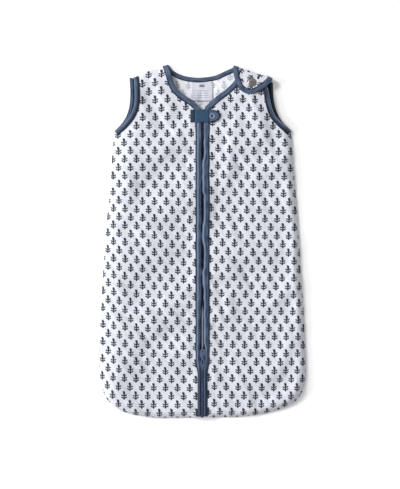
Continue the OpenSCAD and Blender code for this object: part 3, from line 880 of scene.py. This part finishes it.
# Back armhole strip: painted shadow of the front strip from a little before the middle on
ARM_BACK = bound_cloth("arm_binding_back", 0.9, dark_from=(0.40, 0.58))
ARM_SHADED = bound_cloth("arm_binding_shaded", 0.5, dark_from=(0.2, 0.5))
# Lips: painted highlight where each roll faces the light, on the left lip's outer part and the right lip's
# inner fold
LIP_LEFT = bound_cloth("lip_binding_left", worn_and_lit=(0.60, 0.26), highlight=0.8)
LIP_RIGHT = bound_cloth("lip_binding_right", worn_and_lit=(0.16, 0.16), highlight=0.6)
THREAD = dyed_cloth("sewing_thread", (0.035, 0.06, 0.115), (0.09, 0.13, 0.22), 0.2)
TAB = tab_cloth()
TAB_BASE = dyed_cloth("tab_base_cloth", (0.016, 0.028, 0.055), (0.035, 0.055, 0.10), 0.4)
# Navy zip tape, darkened to near black with the painted shade of the deep gap between the lips
TAPE = dyed_cloth("zip_tape", (0.003, 0.005, 0.014), (0.007, 0.012, 0.028), 0.5)
COIL = coil_nylon()
FITTING = nylon("zip_fitting", (0.010, 0.016, 0.035), (0.022, 0.035, 0.065))
ENAMEL = nylon("slider_enamel", (0.040, 0.068, 0.125), (0.10, 0.15, 0.25), 0.3)
STEEL = metal("snap_steel", (0.42, 0.45, 0.52), (0.62, 0.66, 0.74), 0.3)
RING = ring_metal()
DULL_STEEL = metal("snap_steel_dull", (0.07, 0.09, 0.14), (0.13, 0.16, 0.23), 0.45)
CAP = metal("snap_cap", (0.20, 0.19, 0.185), (0.34, 0.325, 0.32), 0.42, 0.8)
LABEL = label_cloth()


# ---------------------------------------------------------------- how pieces ride

# How far the bend of the cloth reaches on the bag's and on the lapel's side of the folding line
BEND_REACH = (7, 5)
# Heights up the bag between which a lapel's bend grows from nothing, and then dies out again
LEFT_ENDS = ((-250, -236), (285, 332))
RIGHT_ENDS = ((-228, -213), (285, 318))


def turn_over(obj, joint_name, low, high):
    """Bends obj over a lapel's folding line, and lets the bend die out at the line's two ends."""
    j = joint(joint_name)
    at, axis = np.array(j["pos_m"]) / MM, np.array(j["axis"], float)
    axis = axis / np.linalg.norm(axis)
    side = 1 if at[0] < 0 else -1
    inward = np.array([abs(axis[1]), -axis[0] * np.sign(axis[1]), 0]) * side
    start, end = (at - BEND_REACH[0] * inward) * MM, (at + BEND_REACH[1] * inward) * MM
    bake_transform(obj, "bag", j["child"], start=tuple(start), end=tuple(end))
    y = np.array([v.co.y for v in obj.data.vertices]) / MM
    share = ease((y - low[0]) / (low[1] - low[0])) * ease((high[1] - y) / (high[1] - high[0]))
    weights = obj.data.attributes["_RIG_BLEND"].data
    w = np.zeros(len(y), np.float32)
    weights.foreach_get("value", w)
    weights.foreach_set("value", (w * share).astype(np.float32))


# ---------------------------------------------------------------- cloth

# How the print lies off the straight on each front half: a shift across and along in millimetres, and how it
# grows with powers of the place, counted per 100 mm
PRINT_PULL = {
    "left": {"start": (120.0, -207.8), "x": (1.2, 7.5), "y": (-0.7, -0.8), "xx": (-1.6, 2.7),
             "xy": (0.7, -0.8), "yy": (-0.5, -0.9), "xxx": (-0.6, 1.0), "xxy": (1.0, 0.5),
             "xyy": (-0.6, -0.9)},
    "right": {"start": (-51.8, -218.3), "x": (3.6, 9.3), "y": (-1.5, -0.7), "xx": (-4.8, -5.0),
              "xy": (0.1, 2.3), "yy": (0.0, -0.2), "xxx": (1.5, 1.0), "xxy": (-0.4, -0.8)}}


def pulled(p, pull):
    """Flat-cut coordinates of points on a front half."""
    x, y = (p / 100).T
    return p + sum(np.outer(x ** powers.count("x") * y ** powers.count("y"), amount)
                   for powers, amount in pull.items())


def simulated(flat, faces, held, slack, frames=16):
    """How far, in millimetres, points of the front move when the cloth that isn't held gets some slack."""
    start = on_front(flat, 0) * MM
    mesh = bpy.data.meshes.new("slack")
    mesh.from_pydata(start.tolist(), [], faces)
    obj = bpy.data.objects.new("slack", mesh)
    bpy.context.scene.collection.objects.link(obj)
    group = obj.vertex_groups.new(name="held")
    for i, weight in enumerate(held):
        group.add([i], float(weight), "REPLACE")
    cloth = obj.modifiers.new("cloth", "CLOTH")
    for key, value in {"quality": 8, "mass": 0.15, "tension_stiffness": 20, "compression_stiffness": 20,
                       "shear_stiffness": 8, "bending_stiffness": 4, "air_damping": 3,
                       "vertex_group_mass": "held", "shrink_min": -slack, "shrink_max": -slack}.items():
        setattr(cloth.settings, key, value)
    cloth.settings.effector_weights.gravity = 0
    cloth.collision_settings.use_collision = False
    cloth.point_cache.frame_start, cloth.point_cache.frame_end = 1, frames
    scene = bpy.context.scene
    for number in range(1, frames + 1):
        scene.frame_set(number)
    made = obj.evaluated_get(bpy.context.evaluated_depsgraph_get()).data
    end = np.array([tuple(v.co) for v in made.vertices])
    scene.frame_set(1)
    bpy.data.objects.remove(obj)
    bpy.data.meshes.remove(mesh)
    return (end - start) / MM


def slackened(middle, outline, slack=0.022, step=9, most=3.2, spread=5.5):
    """The fine sheet with the folds that a simulated coarse copy throws when it has a little too much cloth.

    The copy is held where it is sewn and under the tab. No point moves further than most, and spread is how
    far a coarse point's movement reaches.
    """
    flat, faces = tiled(spaced(looped(outline), step)[:-1], step)
    sewn = np.minimum(nearest(flat, BOUND_FRONT) - BINDING_W, near(flat, SIDES)[0] + 2)
    held = np.maximum(1 - ease((sewn - 2) / 10), under_tab(flat))
    moved = simulated(flat, faces, held, slack) * (1 - held)[:, None]
    size = np.linalg.norm(moved, axis=1)
    moved *= (np.minimum(size, most) / np.maximum(size, 1e-9))[:, None]
    out = middle.copy()
    for part in np.array_split(np.arange(len(middle)), 8):
        gap = ((middle[part, None, :2] - flat[None]) ** 2).sum(-1)
        weight = np.exp(-gap / (2 * spread ** 2))
        out[part] += weight @ moved / weight.sum(1)[:, None]
    return out


def flat_area(outline):
    x, y = outline[:, 0], outline[:, 1]
    return abs((x * np.roll(y, -1) - y * np.roll(x, -1)).sum()) / 2 * MM * MM


def joined(*lines):
    """One closed outline from edges that follow each other."""
    return np.vstack([spaced(line, 4.2)[:-1] for line in lines])


def front_half(side):
    name = "left" if side < 0 else "right"
    if side < 0:
        outline = joined(ZIP_LEFT, NECK_LEFT, SHOULDER_LEFT_FRONT, ARM_LEFT_FRONT, SEAM_LEFT)
    else:
        gap_end = np.array([ARM_RIGHT_FRONT[-1], NECK_RIGHT[0]])
        outline = joined(ZIP_RIGHT, SEAM_RIGHT, ARM_RIGHT_FRONT, gap_end, NECK_RIGHT)
    flat, faces = tiled(outline, 3.8)
    middle = on_front(flat, 0)
    middle = slackened(middle, outline)
    obj = thick_cloth(f"front_cloth_{name}", middle, faces, pulled(flat, PRINT_PULL[name]), FRONT_T, OUTSIDE,
                      WRONG_SIDE)
    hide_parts(f"front_panel_{name}", f"lapel_{name}")
    flat_area(outline)
    turn_over(obj, f"front_{name}_fold", *(LEFT_ENDS if side < 0 else RIGHT_ENDS))


def back_cloth():
    fold_line = np.array([ARM_RIGHT_BACK[-1], NECK_BACK[0]])
    hem_middle = np.array([SEAM_LEFT[-1], SEAM_RIGHT[0]])
    outline = joined(SHOULDER_LEFT, ARM_LEFT_BACK, SEAM_LEFT, hem_middle, SEAM_RIGHT, ARM_RIGHT_BACK,
                     fold_line, NECK_BACK)
    flat, faces = tiled(outline, 5.5)
    print_start = np.array([4.0, -7.0])
    obj = thick_cloth("back_cloth", on_back(flat, 0), faces, flat + print_start, BACK_T, WRONG_SIDE, OUTSIDE)
    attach(obj, "bag")
    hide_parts("back_panel")
    flat_area(outline)


# ---------------------------------------------------------------- bindings and seams

def binding(name, path, place, body, nodes, seed, cloth=BINDING, **shape):
    """A bias strip that stands for CAD nodes; without a body the caller says how it rides."""
    piece = Piece()
    bias_strip(piece, path, place, seed=seed, **shape)
    obj = piece.build(name, [cloth, THREAD])
    if body:
        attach(obj, body)
    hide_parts(*nodes)
    return obj


# Where the right lip leans over the gap: height up the bag and half length of each place, and how far
LEANS = ((128, 36), (15, 22), (-73, 17))
LEAN = 3.4
# Heights up the bag from which the lips lie flat, the coils part and the lips run straight, so that the open
# zip's slider has room
FLAT_Y, PARTED_Y, STRAIGHT_Y = 192, 203, 212


def lip_wobble(path):
    """The zip's lips lean to and fro, so the gap between them opens and closes. They hug the slider."""
    y = path[:, 1]
    right = path[:, 0] > 0
    fade = ease((y - SLIDER_Y - 22) / 25) * ease((STRAIGHT_Y - y) / 25)
    lean = sum(LEAN * ease((half - np.abs(y - at)) / 14 + 0.35) for at, half in LEANS)
    slight = np.clip(0.5 + 1.6 * wander(y, 77.0, 17), 0, 1.3)
    shift = 0.4 - slight - np.where(right, np.minimum(lean, LEAN), 0)
    return np.maximum(shift, np.where(right, -4.4, -0.7)) * fade - 2.5 * hump(y - SLIDER_Y, 11)


def lip_puff(path):
    """How far a lip bulges: flat under the tab, where the open zip's slider also stops."""
    return 2.0 * (1 - 0.93 * ease((path[:, 1] - FLAT_Y) / 12))


def zip_lip_width(path):
    """The outer edge of a lip is nearly straight and draws in below the zip."""
    x, y = path.T
    outer = np.interp(y, [-262, -236], [10.0, 14.0]) + 0.9 * wander(np.column_stack([y, x]), 67.0, 30)
    return np.maximum(outer - np.abs(x), 3.5)


def bindings():
    under_flap = NECK_BACK[0] + 5 * headings(NECK_BACK[1::-1])[-1]
    binding("neck_binding_back_strip", np.vstack([[under_flap], NECK_BACK]), on_back, "bag",
            ["neck_binding_back"], 1.0, width=8, cloth_t=BACK_T)
    left = binding("neck_binding_left", NECK_LEFT, on_front, None,
                   ["neck_binding_shoulder_left", "neck_binding_front_left"], 2.0)
    turn_over(left, "front_left_fold", *LEFT_ENDS)
    right = binding("neck_binding_right", NECK_RIGHT, on_front, None,
                    ["neck_binding_strap_right", "neck_binding_front_right"], 3.0)
    turn_over(right, "front_right_fold", *RIGHT_ENDS)
    for name, path, place, seed, t, cloth in [
            ("left_back", ARM_LEFT_BACK, on_back, 4.0, BACK_T, ARM_BACK),
            ("left_front", ARM_LEFT_FRONT, on_front, 5.0, FRONT_T, ARM_FRONT),
            ("right_back", ARM_RIGHT_BACK, on_back, 6.0, BACK_T, ARM_SHADED),
            ("right_front", ARM_RIGHT_FRONT, on_front, 7.0, FRONT_T, ARM_FRONT)]:
        binding(f"armhole_strip_{name}", path, place, "bag", [f"armhole_binding_{name}"], seed, cloth=cloth,
                cloth_t=t)
    for name, path, seed, ends, cloth, crown in [("left", ZIP_LEFT, 8.0, LEFT_ENDS, LIP_LEFT, 0.8),
                                                 ("right", ZIP_RIGHT, 9.0, RIGHT_ENDS, LIP_RIGHT, 3.0)]:
        trimmed = path[(path[:, 1] > -346) & (path[:, 1] < 256)]
        low, high = np.array([[path[0][0], -347]]), np.array([[path[0][0], 250]])
        trimmed = np.vstack([low, trimmed, high] if name == "left" else [high, trimmed, low])
        lip = binding(f"zip_lip_{name}", trimmed, on_front, None,
                      [f"zip_binding_{name}", f"placket_binding_{name}"], seed, width=zip_lip_width,
                      cloth=cloth, puff=lip_puff, wobble=lip_wobble, crown=crown, lumps=0.25)
        turn_over(lip, f"front_{name}_fold", *ends)


def shoulder_flap():
    edge = FLAP_EDGE * [1, -1] - [0, FOLD_R]
    left = np.array([[edge[0, 0], -ARC_L], edge[0]])
    right = np.array([edge[-1], [edge[-1, 0], -ARC_L]])
    outline = np.vstack([spaced(left, 2.2)[:-1], spaced(edge, 3)[:-1], spaced(right, 2.2)[:-1],
                         spaced([right[-1], left[0]], 3)[:-1]])[::-1]
    flat, faces = tiled(outline, 3)
    c, s = math.cos(SHOULDER_TURN), math.sin(SHOULDER_TURN)
    uv = np.column_stack([-flat[:, 0] * c + flat[:, 1] * s + 6, flat[:, 0] * s + flat[:, 1] * c - 12])
    obj = thick_cloth("flap_cloth", on_flap(flat, np.zeros(len(flat))), flipped(faces), uv, 1.0, OUTSIDE,
                      WRONG_SIDE)
    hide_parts("shoulder_flap")
    flat_area(outline)
    path = np.vstack([left[:1], edge, right[1:]])[::-1]
    strip = binding("flap_strip", path, on_flap, None, ["flap_binding"], 11.0, width=9.5, cloth_t=1.0,
                    under=0.6)
    x, y, _ = joint("flap_lift")["pos_m"]
    for each in (obj, strip):
        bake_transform(each, "bag", "flap", start=(x, y, BOTTOM_Z * MM), end=(x, y, (FLAP_PLATE_Z - 1) * MM))


def seam_roll(name, path, node, height=EDGE_Z):
    """The puckered roll where the front cloth is sewn to the back cloth."""
    path = spaced(path, 2.4)
    pucker = wander(arc_lengths(path), 5.5, 9)
    flat = path + left_of(headings(path)) * (0.9 + 0.55 * pucker)[:, None]
    print_start = np.array([117.6, -214.5])
    piece = Piece()
    tube(piece, np.column_stack([flat, height + 0.35 * pucker]), 1.35 + 0.2 * pucker, uv=flat + print_start,
         sides=10, squeeze=0.95)
    obj = piece.build(name, [OUTSIDE])
    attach(obj, "bag")
    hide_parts(node)


def seams():
    hem_y = corners("side_seam_left")[0][1]
    left, right = SEAM_LEFT, SEAM_RIGHT
    hem = np.vstack([seam[seam[:, 1] < hem_y + 4] for seam in (left, right)])
    seam_roll("seam_roll_left", left[left[:, 1] > hem_y], "side_seam_left")
    seam_roll("seam_roll_right", right[right[:, 1] > hem_y], "side_seam_right")
    seam_roll("seam_roll_hem", hem, "hem_seam")
    seam_roll("seam_roll_shoulder", SHOULDER_LEFT, "shoulder_seam_left", EDGE_Z + 0.8)


# ---------------------------------------------------------------- zip, placket, tab and label

def tape_cloth(name, node, columns, wave, seed, grain):
    """A strip of woven tape as large as its CAD node, a little wavy."""
    low, high = corners(node)
    return grid_cloth(name, np.linspace(low[0], high[0], columns), np.arange(low[1], high[1], 4.0),
                      lambda p: (low[2] + high[2]) / 2 + wave * wander(p, seed, grain), 0.6, TAPE)


def coil_line(node, side):
    """The route of one zip coil; the two coils part where the open zip's slider stops."""
    low, high = corners(node)
    pitch, points_a_turn = 1.5, 10
    turns = (high[1] - low[1]) / pitch
    t = np.linspace(0, turns, int(turns * points_a_turn))
    phase = 2 * math.pi * t + (0 if side < 0 else math.pi)
    y = low[1] + t * pitch
    apart = 1.25 + ease((y - PARTED_Y) / 8)
    return np.column_stack([side * (apart + 1.3 * np.cos(phase)), y,
                            (low[2] + high[2]) / 2 + 0.55 * np.sin(phase)])


def zip_chain():
    for name, side in (("left", -1), ("right", 1)):
        tape = tape_cloth(f"tape_{name}", f"zip_tape_{name}", 7, 0.12, 51.0, 9)
        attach(tape, f"front_{name}")
        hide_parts(f"zip_tape_{name}")
        piece = Piece()
        tube(piece, coil_line(f"zip_coil_{name}", side), 0.3, sides=5)
        coil = piece.build(f"coil_{name}", [COIL])
        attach(coil, f"front_{name}")
        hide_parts(f"zip_coil_{name}")


def placket():
    """Below the zip: a stitched ridge between the lips, over a strip of tape."""
    low, high = corners("placket_ridge")
    y = np.arange(low[1], high[1], 2.0)
    waver = wander(y, 83.0, 16)
    section = [(-2.2, -0.9), (-2.3, 0.1), (-1.5, 0.65), (0, 0.85), (1.5, 0.65), (2.3, 0.1), (2.2, -0.9)]
    co = np.array([(across + 0.35 * w, along, high[2] - 0.85 + up * (1 + 0.18 * w))
                   for along, w in zip(y, waver) for across, up in section])
    uv = np.array([(along, 0.3 + 0.07 * across) for along in y for across, up in section])
    piece = Piece()
    piece.add(co, sleeve(len(y), len(section)), uv)
    for x in (-1.2, 1.2):
        line = np.column_stack([y * 0 + x, y])
        stitches(piece, line, lambda p, h: np.column_stack([p, high[2] - 0.32 + h]), 0.0, radius=0.2)
    obj = piece.build("ridge_strip", [BINDING, THREAD])
    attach(obj, "bag")
    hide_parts("placket_ridge")

    tape = tape_cloth("closed_tape", "placket_tape", 9, 0.1, 53.0, 8)
    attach(tape, "bag")
    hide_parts("placket_tape")


def neck_tab():
    """The tab's leaf: a padded sheet with a rounded tip, stitched near its edge."""
    low, high = corners("neck_tab")
    middle = (low + high) / 2
    length, half = high[0] - low[0], (high[1] - low[1]) / 2
    tip = [(TAB_LEAF_X + (length - TAB_LEAF_X) * math.cos(a) ** 0.85, half * math.sin(a))
           for a in np.linspace(math.pi / 2, 0, 9)]
    upper = np.array([(0.0, half), (14, half), (TAB_LEAF_X - 1, half - 0.25)] + tip)
    edge = np.vstack([upper, (upper * [1, -1])[::-1][1:]])
    outline = spaced(looped(edge), 1.6)[:-1][::-1]
    flat, faces = tiled(outline, 1.6)

    def on_tab(p, h):
        groove = -0.28 * hump(p[:, 0] - TAB_LEAF_X + 0.6, 0.8)
        soft = 0.25 * wander(p, 91.0, 9)
        return np.column_stack([p + [low[0], middle[1]], middle[2] + groove + soft + h])

    rim, _ = near(flat, looped(outline))
    half_t = 0.5 * ease(rim / 0.9 + 0.25)
    plump = 0.35 * ease(rim / 2.4) - 0.25 * hump(rim - 2.4, 0.5)
    piece = Piece()
    two_faced(piece, on_tab(flat, half_t + plump), on_tab(flat, -half_t), faces, flat)
    seam = spaced(edge, 0.8)
    seam = seam - 2.3 * left_of(headings(seam))
    stitches(piece, seam, on_tab, 0.72, radius=0.22, long=2.0, gap=0.9)
    tab = piece.build("tab_leaf", [TAB, THREAD])
    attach(tab, "tab")
    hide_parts("neck_tab")
    flat_area(outline)


def tab_base():
    """The folded, sewn strip that carries the tab."""
    low, high = corners("neck_tab_base")
    size = high - low
    section = [(0, 0.0), (0, 0.62), (0.04, 0.9), (0.14, 1.0), (0.24, 0.92), (0.32, 1.0), (0.6, 1.03),
               (0.84, 1.0), (0.96, 0.86), (1.0, 0.55), (1.0, 0.0)]
    rows = np.linspace(0, 1, 14)
    flatter_ends = 1 - 0.35 * abs(2 * rows - 1) ** 12
    co = np.array([low + size * (across, along, up * cap) for along, cap in zip(rows, flatter_ends)
                   for across, up in section])
    piece = Piece()
    piece.add(co, sleeve(len(rows), len(section)), co[:, :2])
    for share in (0.2, 0.8):
        x = low[0] + share * size[0]
        stitches(piece, spaced([(x, low[1] + 1), (x, high[1] - 1)], 1.0),
                 lambda p, h: np.column_stack([p, high[2] + h]), -0.05)
    base = piece.build("tab_base_fold", [TAB_BASE, THREAD])
    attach(base, "front_left")
    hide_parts("neck_tab_base")


def size_label():
    low, high = corners("size_label")

    def height(p):
        curl = 0.9 * ease((low[1] + 9 - p[:, 1]) / 9) + 0.35 * wander(p, 95.0, 12)
        return back_height(p) + 0.95 + curl

    obj = grid_cloth("label", np.linspace(low[0], high[0], 23), np.linspace(low[1], high[1], 19), height, 0.3,
                     LABEL, origin=low[:2])
    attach(obj, "bag")
    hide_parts("size_label")


def finish_hard_parts():
    """CAD nodes whose shape is right get rounded edges and their own materials."""
    looks = {
        "zip_slider": (ENAMEL, 0.25), "zip_pull": (ENAMEL, 0.3), "zip_retainer_box": (FITTING, 0.2),
        "zip_insertion_pin": (FITTING, 0.15), "zip_bottom_stop": (FITTING, 0.2),
        "tab_snap_ring": (RING, 0.12), "tab_snap_socket": (DULL_STEEL, 0.15),
        "tab_snap_stud": (DULL_STEEL, 0.12), "tab_snap_backing": (STEEL, 0.2),
        "shoulder_snap_cap": (CAP, 0.2), "shoulder_snap_socket": (STEEL, 0.15),
        "shoulder_snap_stud": (STEEL, 0.12), "shoulder_snap_backing": (STEEL, 0.2)}
    for name, (material, radius) in looks.items():
        node = frame["nodes"][name]
        node.data.materials.clear()
        node.data.materials.append(material)
        weld = node.modifiers.new("weld", "WELD")
        weld.merge_threshold = 0.00001
        bevel = node.modifiers.new("bevel", "BEVEL")
        bevel.width = radius * MM
        bevel.segments = 3
        bevel.limit_method = "ANGLE"
        bevel.angle_limit = math.radians(35)
        node.data.polygons.foreach_set("use_smooth", np.ones(len(node.data.polygons), bool))


# ---------------------------------------------------------------- stage, in metres

CAMERA_HEIGHT = 2.5
CAMERA_SHIFT = (-0.0049, -0.0069)  # from over the middle of the bag
LENS = 92.64


def floor():
    bpy.ops.mesh.primitive_plane_add(size=12, location=(0, 0, -0.0004))
    plane = bpy.context.object
    plane.name = "floor"
    sh = Shader("floor_paper", roughness=0.95, specular=0.1)
    sh.colour(sh.mix(sh.noise(sh.place(), 3.0, 2), (0.93, 0.93, 0.935), (0.95, 0.95, 0.95)))
    sh.put(sh.bsdf.inputs["Emission Color"], (1, 1, 1))
    sh.put(sh.bsdf.inputs["Emission Strength"], 0.09)
    plane.data.materials.append(sh.material)


def lamp(name, at, size, power):
    """A round soft lamp that shines on the middle of the floor."""
    data = bpy.data.lights.new(name, "AREA")
    data.shape = "DISK"
    data.size = size
    data.energy = power
    obj = bpy.data.objects.new(name, data)
    obj.location = at
    obj.rotation_euler = (-Vector(at)).to_track_quat("-Z", "Y").to_euler()
    bpy.context.scene.collection.objects.link(obj)


def camera():
    """Looks straight down on the bag."""
    data = bpy.data.cameras.new("camera")
    data.sensor_width = 36
    data.lens = LENS
    obj = bpy.data.objects.new("camera", data)
    low, high = (np.array(c) for c in cad_box)
    middle = (low + high) / 2
    obj.location = (middle[0] + CAMERA_SHIFT[0], middle[1] + CAMERA_SHIFT[1], CAMERA_HEIGHT)
    bpy.context.scene.collection.objects.link(obj)
    bpy.context.scene.camera = obj
    bpy.context.scene.view_settings.view_transform = "Standard"


def studio_light():
    world = bpy.data.worlds.new("studio")
    world.use_nodes = True
    background = world.node_tree.nodes["Background"]
    background.inputs[0].default_value = (1, 1, 1, 1)
    background.inputs[1].default_value = 0.41
    bpy.context.scene.world = world
    lamp("key", (-3.9, 2.6, 3.7), 1.8, 272)
    lamp("side", (-5.4, 0.2, 2.4), 1.7, 200)
    lamp("fill", (1.6, -1.2, 2.6), 2.0, 6)


floor()
studio_light()
camera()
back_cloth()
front_half(-1)
front_half(1)
bindings()
shoulder_flap()
seams()
zip_chain()
placket()
neck_tab()
tab_base()
size_label()
finish_hard_parts()
